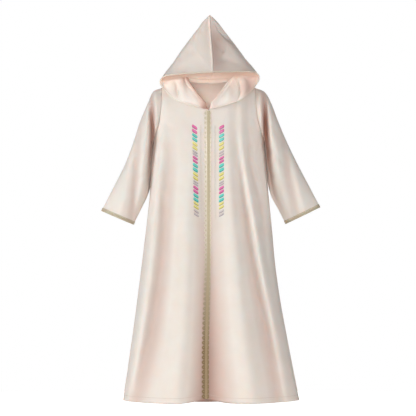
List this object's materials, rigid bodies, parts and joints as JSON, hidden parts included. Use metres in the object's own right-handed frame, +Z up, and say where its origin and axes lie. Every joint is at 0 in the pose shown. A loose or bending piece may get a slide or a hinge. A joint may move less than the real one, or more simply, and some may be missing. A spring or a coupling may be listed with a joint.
{
  "type": "hooded abaya",
  "caption": "Child's long hooded abaya in crepe with a pointed hood, straight set-in sleeves and looped gold braid down the closed front, filled out as if worn.",
  "frame": {"origin": "middle of the neck's base, level with the nape seam and in the plane of the side seams, where a wearer's or a form's shoulders hold the garment up", "axes": "+Z up along the garment's length, -Y the front, +X the wearer's left"},
  "size_m": [0.6594, 0.2837, 1.1686],
  "materials": {
    "crepe": "blush polyester crepe, soft matt with a faint sheen",
    "braid": "pale gold metallic-thread braid"
  },
  "bodies": {
    "root": {"front_left": "crepe", "front_right": "crepe", "back": "crepe", "sleeve_left": "crepe", "sleeve_right": "crepe", "hood_left": "crepe", "hood_right": "crepe", "front_braid_left": "braid", "front_braid_right": "braid", "cuff_braid_left": "braid", "cuff_braid_right": "braid", "hood_braid_left": "braid", "hood_braid_right": "braid"}
  },
  "joints": []
}
